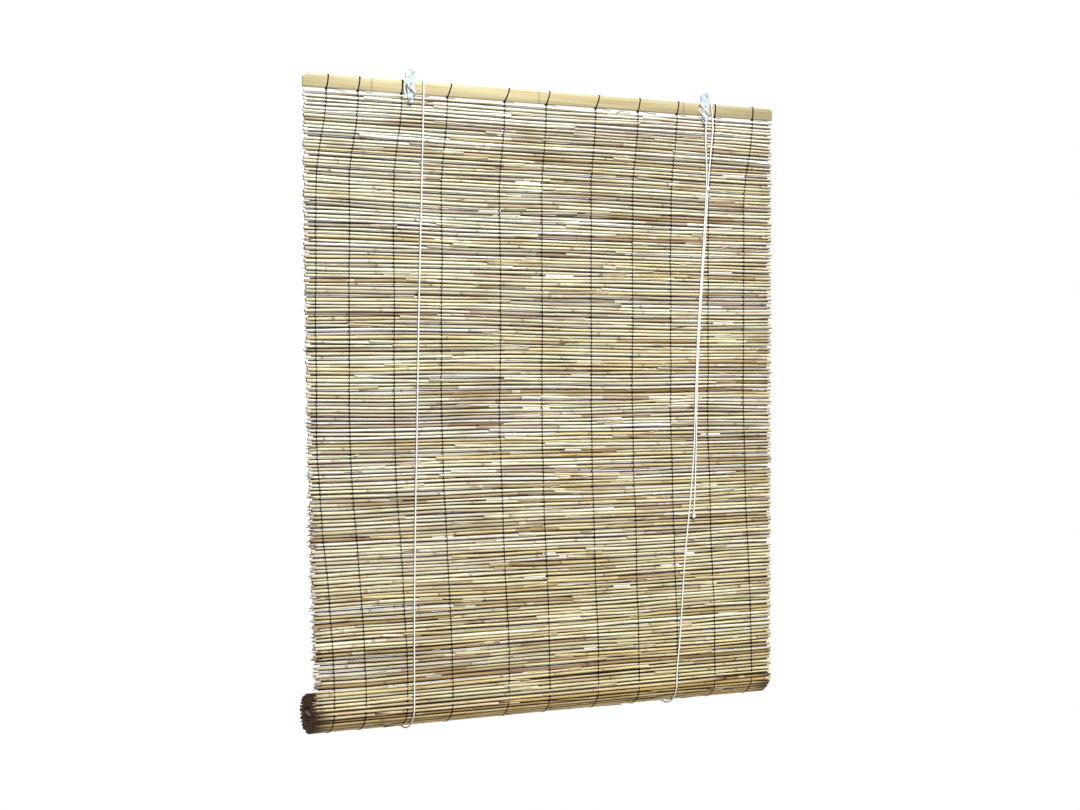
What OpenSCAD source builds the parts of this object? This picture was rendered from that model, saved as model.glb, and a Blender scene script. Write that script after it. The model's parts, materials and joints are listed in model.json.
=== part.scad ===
// Roll-up reed blind: a woven reed mat hung from a bamboo head slat on two
// moulded hooks, with its lower part wound into a roll that two cord loops carry.
// Millimetres, +Z up, front towards -Y. The origin is midway between the two
// hanging holes, on the back faces of the hooks.

/* [Blind] */
// Width of the head slat and of the longest reeds
blind_w = 900; // [700:10:1400]
// Drop from the slat's top edge down to the roll's axis
drop = 1004; // [600:1:1600]
// How far the mat's left edge has crept inwards at the bottom
edge_creep = 20; // [0:1:40]

/* [Head slat] */
// Height of the bamboo slat
slat_h = 21; // [18:0.5:24]
// Thickness of the slat at its crown
slat_t = 5.5; // [5:0.1:6]
// How far the slat's long edges fall back behind the crown
slat_dome = 1.4; // [0.6:0.1:2]
// Radius of the slat's upper end corners
slat_corner_r = 6; // [2:0.5:9]

/* [Reeds] */
// Mean diameter of a reed
reed_d = 4.7; // [4.2:0.1:4.8]
// How far a reed's diameter strays either way from the mean
reed_d_spread = 0.6; // [0:0.1:0.6]
// Distance from one reed to the next
reed_pitch = 6.1; // [6:0.1:7.5]
// How far a reed's end strays from the mat's edge
reed_end_spread = 2.5; // [0:0.5:5]
// Space between the slat's lower edge and the first reed
mat_gap = 3.2; // [2.8:0.1:5]
// Every so many reeds, one lies against the reed above it
close_every = 4; // [3:1:8]

/* [Threads] */
// Diameter of the black binding thread
thread_d = 0.9; // [0.6:0.1:1.2]
// Width of the binding that joins the reeds at the outer threads
binding_w = 4; // [2:0.5:8]
// Thickness of that binding
binding_t = 1.2; // [0.8:0.1:2]

/* [Roll] */
// Radius of the roll over its outermost reeds
roll_r = 35; // [30:0.5:45]
// Distance between one turn of the roll and the next
turn_pitch = 5.9; // [5.8:0.1:6.4]

/* [Hooks] */
// Distance between the two hanging holes
hook_span = 570; // [400:5:620]
// Distance from the slat's left end to the left hook
hook_inset = 184; // [60:1:200]
// Height of the hanging holes above the slat's top edge
hang_rise = 10; // [8:0.5:16]
// Diameter of a hanging hole
hang_hole_d = 8; // [5:0.5:9]
// Thickness of a hook's plate
hook_t = 3; // [2:0.25:4]
// Radius of the hook's round head
hook_head_r = 8.5; // [7.5:0.25:11]
// Radius of the hook's round foot
hook_foot_r = 4; // [3:0.25:5]
// Distance from the hanging hole down to the centre of the foot
hook_reach = 41; // [38:0.5:45]
// Width of the raised rim round the hook's front
hook_rim_w = 1.2; // [0.8:0.1:1.8]
// Height of that rim
hook_rim_h = 0.8; // [0.4:0.1:1.2]
// Diameter of the cord eyes
eye_d = 3.4; // [3:0.1:4]

/* [Cords] */
// Diameter of the white cord
cord_d = 2.4; // [2:0.1:2.6]

/* [Hidden] */
$fn = 48;
// Clearance between pieces that lie against each other
fit_gap = 0.1;
// Clearance between pieces that move past each other
running_gap = 0.3;
// How far cuts run past what they cut
overrun = 2;
// How far two reeds that lie together are pressed into each other
reed_press = 0.2;
// Angle that spreads the reed sizes without a visible repeat
scatter_deg = 137.5;
// Rim of plastic round a cord eye
eye_rim_w = 1;
// Bearings of the corners on one flank of a reed in the roll
flank_steps = [75, 45, 15, -15, -45, -75];
// Height above the roll's axis at which the rear threads turn in to the roll
thread_lift = 12;
// Sides of a cord's tube
cord_sides = 8;
// Diameter of the knots, and of their collars
knot_d = 6.4;
knot_collar_d = 5;
knot_collar_rise = 2.6;
// How far the knots stand out in front of their cord
knot_stand = 1.4;

// Places of the binding threads along the slat
thread_shares = [0.043, 0.104, 0.188, 0.28, 0.398, 0.486, 0.593, 0.686, 0.775, 0.864, 0.952];
// Places of a hook's three cord eyes, from the hanging hole to the foot
eye_shares = [0.38, 0.62, 0.9];

slat_left = -hook_span / 2 - hook_inset;
slat_right = slat_left + blind_w;
slat_top = -hang_rise;
slat_bottom = slat_top - slat_h;
slat_front = fit_gap;
mat_y = slat_front + slat_t / 2;
mat_top = slat_bottom - mat_gap;
axis_z = slat_top - drop;
axis_y = slat_front + roll_r;
reed_d_max = reed_d + reed_d_spread;
reed_count = floor((mat_top - axis_z) / reed_pitch);
thread_y = slat_t / 2 + fit_gap + thread_d / 2;
cord_r = cord_d / 2;
// The lift cords run in front of the binding threads
cord_y = slat_front - fit_gap - thread_d - running_gap - cord_r;
loop_r = axis_y - cord_y;
// Radius of the mat's middle where the roll's outermost turn begins
turn_start_r = roll_r - slat_t / 2;
core_r = slat_h / 2 + running_gap;
roll_turns = (turn_start_r - slat_t / 2 - core_r) / turn_pitch;
roll_reeds = floor(roll_turns * PI * (turn_start_r + core_r + slat_t / 2) / reed_pitch);

// Cord routes, from their upper ends. The lift loops and the cords behind the mat take
// their places from the lower ends of the two lift cords.
lift_left_route = [
    [-261, cord_y, -12], [-263, cord_y, -100], [-265.5, cord_y, -200], [-270, cord_y, -360],
    [-273, cord_y, -520], [-276, cord_y, -660], [-278, cord_y, -780], [-279, cord_y, -900],
    [-279, cord_y, axis_z + running_gap],
];
lift_right_route = [
    [285, -0.4, -36.9], [285, -5.2, -37.1], [285, -6.2, -40], [285, -5.8, -46],
    [286.5, cord_y, -80], [288.5, cord_y, -120], [288, cord_y, -160], [283, cord_y, -240],
    [275.5, cord_y, -340], [269.5, cord_y, -430], [265.5, cord_y, -540], [262, cord_y, -620],
    [254, cord_y, -710], [244, cord_y, -800], [235.5, cord_y, -920], [229, cord_y, -984],
    [228, cord_y, -1004], [228, cord_y, axis_z + running_gap],
];
cross_route = [
    [-261, cord_y, -12], [-261, -2, -9.8], [-261, -0.6, -8.6], [-260.8, 2.8, -8],
    [-260, 5.6, -8.2], [-258.5, 7.4, -9.6], [-255, 7.9, -12], [-248, 7.9, -13.5],
    [-120, 7.9, -16], [60, 7.9, -17], [240, 7.9, -15], [264, 9, -14.5],
    [274, 10.6, -14], [288, 10.4, -12.5], [294.5, 8.6, -10], [297, 5.6, -8.4],
    [297.6, 2.6, -8], [298, -0.8, -8.6], [298.2, -2.1, -10], [298.2, cord_y, -12],
];
pull_route = [
    [298.2, cord_y, -12], [300, cord_y, -26], [301.5, cord_y, -44], [300.4, cord_y, -66],
    [298, cord_y, -88], [295.4, cord_y, -116], [292.8, cord_y, -142], [291.4, cord_y, -160],
    [289, cord_y, -200], [286.2, cord_y, -240], [282, cord_y, -290], [278.6, cord_y, -340],
    [275, cord_y, -390], [272.6, cord_y, -430], [270.4, cord_y, -480], [268.7, cord_y, -540],
    [267.4, cord_y, -600], [266.2, cord_y, -650], [264.6, cord_y, -690], [262.4, cord_y, -724],
];
// A tie goes once round the slat and across its hook, measured from the hook's middle
tie_route = [
    [-9.6, 2.8, -8.2], [-9.8, -1.2, -8.8], [-9.2, -5.2, -12.5], [-5.5, -5.6, -17],
    [0, -5.8, -22], [5.4, -5.6, -26.5], [7.9, -4.4, -30], [8.2, -0.8, -32.5], [8, 3.6, -32.6],
    [7.4, 6.6, -32.3], [6.8, 7.6, -30.4], [3.6, 7.7, -25], [-3, 7.7, -18], [-8.6, 7.7, -12],
    [-9.4, 7.3, -9.3], [-9.6, 5.6, -8.2],
];
// Where the cords behind the mat are made fast, measured from the middle of each hook
tie_off = [7, 9.4, -32.5];
// Places of the two knots on the pull cord
upper_knot_at = [290, cord_y - knot_stand, -158];
end_knot_at = [262.2, cord_y - knot_stand, -726];

lift_foot_left = lift_left_route[len(lift_left_route) - 1];
lift_foot_right = lift_right_route[len(lift_right_route) - 1];

function unit(v) = v / norm(v);
function reed_size(k) = reed_d + reed_d_spread * sin(k * scatter_deg);
function lies_close(k) = k % close_every == close_every - 1;
function reed_z(k) = lies_close(k)
    ? reed_z(k - 1) - (reed_size(k) + reed_size(k - 1)) / 2 + reed_press
    : mat_top - reed_d_max / 2 - k * reed_pitch;
function reed_left(k) = slat_left + edge_creep * pow(k / reed_count, 2);
function reed_stray(k) = reed_end_spread * (1 + sin(2 * k * scatter_deg)) / 2;
function thread_x(i) = slat_left + blind_w * thread_shares[i];

// Radius of the mat's middle in the roll, after a turn of so many degrees
function turn_r(a) = turn_start_r - turn_pitch * a / 360;
// The mat comes down the front, passes under the roll and up behind it
function on_turn(a, r) = [axis_y - r * cos(a), axis_z - r * sin(a)];
// Degrees wound at each reed in the roll, a pitch apart along the turns
wound = [for (k = 0, a = 0; k < roll_reeds; a = a + reed_pitch / turn_r(a) * 180 / PI, k = k + 1) a];

// Frames carried along a route without twist
function directions(p, closed) = [for (i = [0:len(p) - 1])
    let(n = len(p),
        a = closed ? (i + n - 1) % n : max(i - 1, 0),
        b = closed ? (i + 1) % n : min(i + 1, n - 1))
    unit(p[b] - p[a])];
function sideways(t, v) = unit(v - (v * t) * t);
function carried(t, i, v, done) = i == len(t)
    ? done
    : let(s = sideways(t[i], v)) carried(t, i + 1, s, concat(done, [s]));

module tube(route, d, closed = false) {
    n = len(route);
    t = directions(route, closed);
    s = carried(t, 0, abs(t[0].x) > abs(t[0].y) ? [0, 1, 0] : [1, 0, 0], []);
    rings = [for (i = [0:n - 1], j = [0:cord_sides - 1])
        let(a = 360 * j / cord_sides)
        route[i] + d / 2 * (cos(a) * s[i] + sin(a) * cross(t[i], s[i]))];
    spans = closed ? n : n - 1;
    walls = [for (i = [0:spans - 1], j = [0:cord_sides - 1], half = [0, 1])
        let(m = (j + 1) % cord_sides, low = i * cord_sides, high = ((i + 1) % n) * cord_sides)
        half == 0 ? [low + j, high + j, high + m] : [low + j, high + m, low + m]];
    caps = closed ? [] : [
        [for (j = [0:cord_sides - 1]) j],
        [for (j = [0:cord_sides - 1]) (n - 1) * cord_sides + cord_sides - 1 - j],
    ];
    polyhedron(rings, concat(walls, caps), convexity = 4);
}

module along_x(length) {
    rotate([90, 0, 90]) linear_extrude(length) children();
}

module slat_section() {
    dome_r = (pow(slat_h / 2, 2) + pow(slat_dome, 2)) / (2 * slat_dome);
    intersection() {
        translate([0, -slat_h / 2]) square([slat_t, slat_h]);
        translate([dome_r, 0]) circle(dome_r, $fn = 4 * $fn);
    }
}

module corner_cut(r) {
    difference() {
        cube([r + overrun, slat_t + 2 * overrun, r + overrun]);
        translate([0, -overrun, 0]) rotate([-90, 0, 0]) cylinder(r = r, h = slat_t + 4 * overrun);
    }
}

module head_slat() {
    color("burlywood") difference() {
        translate([slat_left, slat_front, slat_top - slat_h / 2]) along_x(blind_w) slat_section();
        for (side = [0, 1])
            translate([side ? slat_right - slat_corner_r : slat_left + slat_corner_r,
                       slat_front - overrun, slat_top - slat_corner_r])
                mirror([1 - side, 0, 0]) corner_cut(slat_corner_r);
    }
}

module reed(k) {
    left = reed_left(k) + reed_stray(k);
    right = slat_right - reed_stray(k + 1);
    translate([left, mat_y, reed_z(k)]) along_x(right - left) circle(d = reed_size(k));
}

module reed_mat() {
    color("khaki") union() {
        for (k = [0:reed_count - 1]) reed(k);
        for (i = [0, len(thread_shares) - 1])
            translate([thread_x(i) - binding_w / 2, mat_y - binding_t / 2, reed_z(reed_count - 1)])
                cube([binding_w, binding_t, reed_z(0) - reed_z(reed_count - 1)]);
    }
}

module warp_thread(i) {
    top = slat_top;
    front_end = axis_z + fit_gap;
    back_end = axis_z + thread_lift;
    color("black") translate([thread_x(i), mat_y, 0]) union() {
        translate([0, -thread_y, front_end]) cylinder(d = thread_d, h = top - front_end);
        translate([0, thread_y, back_end]) cylinder(d = thread_d, h = top - back_end);
        translate([0, 0, top]) rotate([90, 0, 90])
            rotate_extrude(angle = 180) translate([thread_y, 0]) circle(d = thread_d);
    }
}

module hook_outline(inset) {
    head = hook_head_r - inset;
    foot = hook_foot_r - inset;
    union() {
        circle(head);
        translate([0, -hook_reach]) circle(foot);
        polygon([[-head, 0], [head, 0], [foot, -hook_reach], [-foot, -hook_reach]]);
    }
}

module hook_plane(depth) {
    rotate([90, 0, 0]) linear_extrude(depth) children();
}

module hook(x) {
    full_t = hook_t + hook_rim_h;
    color("aliceblue") translate([x, 0, 0]) difference() {
        union() {
            hook_plane(hook_t) hook_outline(0);
            hook_plane(full_t) difference() {
                hook_outline(0);
                hook_outline(hook_rim_w);
            }
            hook_plane(full_t) circle(d = hang_hole_d + 2 * hook_rim_w);
            for (share = eye_shares)
                translate([0, 0, -share * hook_reach]) hook_plane(full_t) circle(d = eye_d + 2 * eye_rim_w);
        }
        translate([0, overrun, 0]) hook_plane(full_t + 2 * overrun) circle(d = hang_hole_d);
        for (share = eye_shares)
            translate([0, overrun, -share * hook_reach]) hook_plane(full_t + 2 * overrun) circle(d = eye_d);
    }
}

module hook_tie(x) {
    color("white") translate([x, 0, 0]) tube(tie_route, cord_d, closed = true);
}

module cord(route) {
    color("white") tube(route, cord_d);
}

// A straight cord behind the mat, from the rear end of a lift loop up to its hook
module back_cord(foot, hook_x) {
    from = [foot.x, axis_y + loop_r, axis_z + running_gap];
    to = [hook_x, 0, 0] + tie_off;
    color("white") tube([from, to], cord_d);
}

module lift_loop(foot) {
    color("white") translate([foot.x, axis_y, axis_z]) rotate([90, 0, 90])
        rotate([0, 0, 180]) rotate_extrude(angle = 180) translate([loop_r, 0]) circle(d = cord_d);
}

module knot(at) {
    color("white") translate(at) union() {
        sphere(d = knot_d);
        for (side = [-1, 1]) translate([0, 0, side * knot_collar_rise]) sphere(d = knot_collar_d);
    }
}

// One reed's rounded flank, outside (turn 0) or inside (turn 180) of the mat
function flank(k, turn) = [for (b = flank_steps)
    let(a = wound[k], c = on_turn(a, turn_r(a)), r = reed_size(k) / 2, g = a + turn)
    c - r * [cos(g - b), sin(g - b)]];

module roll_section() {
    reeds = [for (k = [0:roll_reeds - 1]) k];
    outside = [for (k = reeds) each flank(k, 0)];
    inside = [for (k = reeds) each flank(roll_reeds - 1 - k, 180)];
    polygon(concat(outside, inside));
}

module mat_roll() {
    color("darkkhaki") translate([slat_left + edge_creep, 0, 0])
        along_x(blind_w - edge_creep) roll_section();
}

// The bottom slat's edge meets the mat's last reed, at the heart of the roll
module bottom_slat() {
    last = roll_reeds - 1;
    seat_r = turn_r(wound[last]) - reed_size(last) / 2 - running_gap;
    color("burlywood") translate([slat_left + edge_creep, axis_y, axis_z])
        along_x(blind_w - edge_creep) rotate(90 + wound[last])
            translate([-slat_t / 2, seat_r - slat_h / 2]) slat_section();
}

// The threads follow the outermost turn from the front, under the roll and up behind
module roll_threads() {
    half_turn = turn_pitch / 2;
    r = turn_start_r + thread_y - half_turn / 2;
    color("black") for (i = [0:len(thread_shares) - 1])
        translate([thread_x(i), axis_y - half_turn / 2, axis_z]) rotate([90, 0, 90])
            rotate([0, 0, 180]) rotate_extrude(angle = 180) translate([r, 0]) circle(d = thread_d);
}

head_slat();
reed_mat();
hook(-hook_span / 2);  // hook_left
hook(hook_span / 2);  // hook_right
hook_tie(-hook_span / 2);  // hook_tie_left
hook_tie(hook_span / 2);  // hook_tie_right
cord(lift_left_route);  // lift_cord_left_front
cord(lift_right_route);  // lift_cord_right_front
back_cord(lift_foot_left, -hook_span / 2);  // lift_cord_left_back
back_cord(lift_foot_right, hook_span / 2);  // lift_cord_right_back
cord(cross_route);  // cross_cord
cord(pull_route);  // pull_cord
knot(upper_knot_at);  // upper_knot
knot(end_knot_at);  // end_knot
lift_loop(lift_foot_left);  // lift_loop_left
lift_loop(lift_foot_right);  // lift_loop_right
mat_roll();
bottom_slat();
roll_threads();
warp_thread(0);  // warp_thread_01
warp_thread(1);  // warp_thread_02
warp_thread(2);  // warp_thread_03
warp_thread(3);  // warp_thread_04
warp_thread(4);  // warp_thread_05
warp_thread(5);  // warp_thread_06
warp_thread(6);  // warp_thread_07
warp_thread(7);  // warp_thread_08
warp_thread(8);  // warp_thread_09
warp_thread(9);  // warp_thread_10
warp_thread(10);  // warp_thread_11
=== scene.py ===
import json
import math
import random
from functools import partial

import bpy
import numpy as np
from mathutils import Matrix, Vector, noise


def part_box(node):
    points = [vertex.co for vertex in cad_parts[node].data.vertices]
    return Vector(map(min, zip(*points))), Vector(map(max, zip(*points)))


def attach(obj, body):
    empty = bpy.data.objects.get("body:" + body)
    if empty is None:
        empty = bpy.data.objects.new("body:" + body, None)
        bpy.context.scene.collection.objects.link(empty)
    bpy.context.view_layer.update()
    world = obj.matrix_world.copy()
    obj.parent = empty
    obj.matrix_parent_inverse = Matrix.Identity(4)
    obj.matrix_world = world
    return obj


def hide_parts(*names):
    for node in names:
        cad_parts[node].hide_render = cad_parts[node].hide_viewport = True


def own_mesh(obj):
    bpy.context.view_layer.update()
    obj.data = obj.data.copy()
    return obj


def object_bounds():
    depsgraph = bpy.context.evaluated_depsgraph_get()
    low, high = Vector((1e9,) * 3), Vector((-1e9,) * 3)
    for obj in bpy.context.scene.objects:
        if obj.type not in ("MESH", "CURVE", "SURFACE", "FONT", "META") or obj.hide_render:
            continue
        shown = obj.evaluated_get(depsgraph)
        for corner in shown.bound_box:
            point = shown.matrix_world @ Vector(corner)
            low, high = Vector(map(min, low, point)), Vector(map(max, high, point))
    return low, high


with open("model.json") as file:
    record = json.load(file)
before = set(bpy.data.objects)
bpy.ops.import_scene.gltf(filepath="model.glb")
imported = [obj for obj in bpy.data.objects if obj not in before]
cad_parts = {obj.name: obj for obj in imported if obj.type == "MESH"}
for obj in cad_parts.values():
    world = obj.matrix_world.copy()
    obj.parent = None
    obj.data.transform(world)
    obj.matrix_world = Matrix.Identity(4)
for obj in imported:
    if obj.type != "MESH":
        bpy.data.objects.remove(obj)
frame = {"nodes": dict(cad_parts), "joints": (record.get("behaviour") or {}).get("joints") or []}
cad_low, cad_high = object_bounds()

MM = 0.001

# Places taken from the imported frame, in metres
slat_low, slat_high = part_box("head_slat")
mat_low, mat_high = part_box("reed_mat")
roll_low, roll_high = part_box("mat_roll")
hook_low, hook_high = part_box("hook_right")
joints = {j["name"]: j for j in frame["joints"]}
AXIS_Y, AXIS_Z = joints["roll_turn"]["pos_m"][1:]
LIFT = joints["roll_lift"]["range_m"][1]
SLAT_BOTTOM = slat_low.z
SLAT_TOP = slat_high.z
SLAT_H = SLAT_TOP - SLAT_BOTTOM
SLAT_MID = (SLAT_BOTTOM + SLAT_TOP) / 2
SLAT_FRONT = slat_low.y
SLAT_BACK = slat_high.y
BLIND_W = slat_high.x - slat_low.x
MAT_Y = (mat_low.y + mat_high.y) / 2
HOOK_X = (hook_low.x + hook_high.x) / 2

# Sizes of the rods and of the roll's turns, as the solids have them
REED_D = 4.7 * MM
REED_D_SPREAD = 0.6 * MM
REED_PITCH = 6.1 * MM
REED_END_SPREAD = 2.5 * MM
CLOSE_EVERY = 4
REED_PRESS = 0.2 * MM
SCATTER = math.radians(137.5)
EDGE_CREEP = roll_low.x - slat_low.x
TURN_PITCH = 5.9 * MM
TURN_START_R = AXIS_Y - MAT_Y
REED_ROWS = round((mat_high.z - AXIS_Z) / REED_PITCH - 0.5)
ROLL_ROWS = 74

# The reeds of the scene are fuller than the rods, and hollow
REED_FULL = 1.13
ROLL_FULL = 1.06
REED_SIDES = 8
BORE_SHARE = 0.55
BORE_DEPTH = 3 * MM

# Threads and cords
THREAD_R = 0.6 * MM
THREAD_SHARES = (0.043, 0.104, 0.188, 0.28, 0.398, 0.486, 0.593, 0.686, 0.775, 0.864, 0.952)
THREADS = len(THREAD_SHARES)
CORD_D = 2.4 * MM
CORD_R = CORD_D / 2

# Above KEEP_Z the mat stays as it is when the roll is raised
FLAT_H = SLAT_BOTTOM - AXIS_Z
KEEP_Z = AXIS_Z + LIFT + 10 * MM

# First seeds of the random draws
LOOP_SEED = 300
FLAT_SEED = 1000
ROLL_SEED = 2000
REAR_SEED = 5000
FRAY_SEED = 7000
FIBRE_SEED = 91


# Colours

def srgb(r, g, b):
    """A colour written as it looks, from 0 to 255, as linear light."""
    return np.array([(c / 255 / 12.92) if c <= 10 else ((c / 255 + 0.055) / 1.055) ** 2.4 for c in (r, g, b)])


WHITE = (1, 1, 1)
STRAW = srgb(239, 233, 203)
CREAM = srgb(246, 243, 229)
HONEY = srgb(227, 214, 170)
GREY_TAN = srgb(206, 197, 172)
BROWN = srgb(150, 112, 74)
# Dark tan and grey that stand for shade: painted shade on the stems behind the gaps and on some frayed fibres
SHADED_TAN = srgb(106, 80, 54)
SHADED_GREY = srgb(156, 138, 120)
NODE_BROWN = srgb(92, 62, 34)
BLEACHED = srgb(250, 248, 238)
CUT_END = srgb(150, 118, 76)
# The roll's reed ends: the cut end's colour made darker, as painted shade on the end of the roll
SHADED_CUT_END = srgb(88, 60, 41)
# The floor and deep ring of a reed's hollow end are painted this dark: painted shade in the hollow
BORE_SHADE = srgb(46, 30, 20)
CORD_WHITE = srgb(250, 250, 250)
MOST_LIGHT = 0.96

# Shares of red, green and blue: what the painted shade in the creases between reeds takes away, what the roll
# keeps, and what the painted shade under and behind the roll takes away
CREASE_SHADE = np.array((0.8, 0.86, 0.92))
ROLL_TONE = np.array((0.92, 0.81, 0.65))
UNDER_ROLL_SHADE = np.array((0.2, 0.24, 0.28))

# A power of the painted crease shade: the higher it is, the thinner the painted dark line between two reeds
CREASE_SHADE_LINE = 5
ROLL_CREASE_SHADE_LINE = 4


class Finish:
    """How a row of reeds is coloured, with the painted shade in its creases, and the way that it faces."""

    def __init__(self, warmth=0, bleach=0, cut_tint=CUT_END, tone=1, facing=0, line=CREASE_SHADE_LINE):
        self.warmth = warmth
        self.bleach = bleach
        self.cut_tint = cut_tint
        self.tone = tone
        self.facing = facing
        self.line = line


# Number helpers

def share_past(value, low, high):
    """How far a value is on its way from low to high, held between 0 and 1."""
    return min(1, max(0, (value - low) / (high - low)))


def ease(value, low, high):
    """Rises smoothly from 0 at low to 1 at high."""
    t = share_past(value, low, high)
    return t * t * (3 - 2 * t)


def mix(a, b, share):
    return a + (b - a) * share


def metres(points):
    return np.asarray(points, float) * MM


def millimetres(rng, low, high):
    """A random length between two numbers of millimetres, in metres."""
    return rng.uniform(low, high) * MM


def wave(a, b, c):
    """Smooth noise about 0. The factors of x, z and k in a call set how quickly it changes."""
    return noise.noise(Vector((a, b, c)))


# Mesh helpers

def new_object(name, points, faces, smooth=True):
    mesh = bpy.data.meshes.new(name)
    mesh.from_pydata([tuple(p) for p in points], [], faces)
    mesh.validate()
    mesh.update()
    if smooth:
        mesh.polygons.foreach_set("use_smooth", [True] * len(mesh.polygons))
    obj = bpy.data.objects.new(name, mesh)
    bpy.context.scene.collection.objects.link(obj)
    return obj


def set_colours(obj, colours):
    layer = obj.data.color_attributes.new(name="tone", type="FLOAT_COLOR", domain="POINT")
    rgba = np.ones((len(colours), 4), np.float32)
    rgba[:, :3] = colours
    layer.data.foreach_set("color", rgba.ravel())


def dress(obj, material, body, slot, *nodes):
    obj.data.materials.append(material)
    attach(obj, body)
    if nodes:
        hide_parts(*nodes)
    return obj


class Tubes:
    """Collects tubes and turns them into one mesh with a colour at each point."""

    GROOVE_SHADE = 0.86

    def __init__(self):
        self.points = []
        self.faces = []
        self.colours = []
        self.count = 0

    def ring_faces(self, rings, sides, closed=False):
        base = self.count
        for i in range(rings if closed else rings - 1):
            low = base + i * sides
            high = base + ((i + 1) % rings) * sides
            for j in range(sides):
                after = (j + 1) % sides
                self.faces.append((low + j, low + after, high + after, high + j))

    def add_block(self, points, colours):
        self.points.append(points)
        self.colours.append(colours)
        self.count += len(points)

    def add_reed(self, path, radii, colours, finish, sides=REED_SIDES):
        """A hollow reed along X: path, radii and colours for each ring.

        It is painted darker where it meets its neighbours, at right angles to the way it faces: painted shade
        in the creases.
        """
        rings = len(path)
        turn = np.arange(sides) * 2 * math.pi / sides
        # Painted shade: each reed is darker towards its top and bottom, where it meets the rows beside it
        crease_shade = 1 - np.abs(np.sin(turn))[:, None] ** finish.line * CREASE_SHADE
        faced = turn + finish.facing
        spokes = np.stack([np.zeros(sides), np.cos(faced), np.sin(faced)], 1)
        base = self.count
        self.ring_faces(rings, sides)
        wall = path[:, None, :] + radii[:, None, None] * spokes[None]
        self.add_block(wall.reshape(-1, 3), (colours[:, None, :] * crease_shade[None]).reshape(-1, 3))
        for end, way in ((0, 1), (rings - 1, -1)):
            outer = base + end * sides
            inner = self.count
            deep = inner + sides
            bore = radii[end] * BORE_SHARE
            depth = np.array([way * BORE_DEPTH, 0, 0])
            # The hollow end's deep ring and floor are painted dark: painted shade
            for step, tint in ((np.zeros(3), finish.cut_tint), (depth, BORE_SHADE)):
                self.add_block(path[end] + step + bore * spokes, np.tile(tint, (sides, 1)))
            for j in range(sides):
                after = (j + 1) % sides
                cut = (outer + after, outer + j, inner + j, inner + after)
                hole = (inner + after, inner + j, deep + j, deep + after)
                self.faces += [cut[::way], hole[::way]]
            floor = tuple(range(deep, deep + sides))
            self.faces.append(floor[::-way])

    def add_path(self, path, radius, sides, colour, closed=False, twist=None):
        """A tube along any path. radius is one number, or one for each point.

        twist is (strands, lay, depth) of a laid cord.
        """
        path = np.asarray(path, float)
        rings = len(path)
        ahead = np.roll(path, -1, 0) - np.roll(path, 1, 0)
        if not closed:
            ahead[0] = path[1] - path[0]
            ahead[-1] = path[-1] - path[-2]
        ahead /= np.linalg.norm(ahead, axis=1)[:, None]
        starts_along_x = abs(ahead[0][0]) >= 0.8
        side = np.array([0, 1.0, 0]) if starts_along_x else np.array([1.0, 0, 0])
        across = []
        for t in ahead:
            side = side - np.dot(side, t) * t
            side /= np.linalg.norm(side)
            across.append(side)
        across = np.array(across)
        up = np.cross(ahead, across)
        turn = np.arange(sides) * 2 * math.pi / sides
        reach = np.tile(np.broadcast_to(radius, rings)[:, None], sides)
        tone = np.ones((rings, sides))
        if twist:
            strands, lay, depth = twist
            steps = np.linalg.norm(np.diff(path, axis=0), axis=1)
            along = np.concatenate([[0], np.cumsum(steps)])
            phase = strands * turn[None] - 2 * math.pi * strands * along[:, None] / lay
            lobe = np.abs(np.cos(phase / 2))
            reach = reach * (1 - depth + depth * lobe)
            tone = mix(self.GROOVE_SHADE, 1, lobe)
        self.ring_faces(rings, sides, closed)
        spokes = np.cos(turn)[None, :, None] * across[:, None] + np.sin(turn)[None, :, None] * up[:, None]
        wall = path[:, None] + reach[..., None] * spokes
        base = self.count
        self.add_block(wall.reshape(-1, 3), (tone[..., None] * np.asarray(colour)).reshape(-1, 3))
        if not closed:
            self.faces.append(tuple(range(base + sides - 1, base - 1, -1)))
            self.faces.append(tuple(range(base + (rings - 1) * sides, base + rings * sides)))

    def build(self, name):
        obj = new_object(name, np.concatenate(self.points), self.faces)
        set_colours(obj, np.concatenate(self.colours))
        return obj


def smooth_path(points, spacing):
    """A curve through the points, resampled at about the given spacing."""
    p = np.asarray(points, float)
    p = np.concatenate([[2 * p[0] - p[1]], p, [2 * p[-1] - p[-2]]])
    out = []
    for a, b, c, d in zip(p, p[1:], p[2:], p[3:]):
        steps = max(2, int(np.linalg.norm(c - b) / spacing))
        t = (np.arange(steps) / steps)[:, None]
        square = 2 * a - 5 * b + 4 * c - d
        cube = 3 * b - a - 3 * c + d
        out.append(0.5 * (2 * b + (c - a) * t + square * t ** 2 + cube * t ** 3))
    out.append(p[-2][None])
    return np.concatenate(out)


def back_to_start(points):
    return np.concatenate([points, points[:1]])


def knot_path(at, scale):
    """An overhand knot drawn tight: a trefoil about the point."""
    t = np.linspace(0, 2 * math.pi, 40, endpoint=False)
    shape = np.stack([np.sin(t) + 2 * np.sin(2 * t), -0.9 * np.sin(3 * t), np.cos(t) - 2 * np.cos(2 * t)], 1)
    return np.asarray(at) + scale * shape


# Materials

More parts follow.
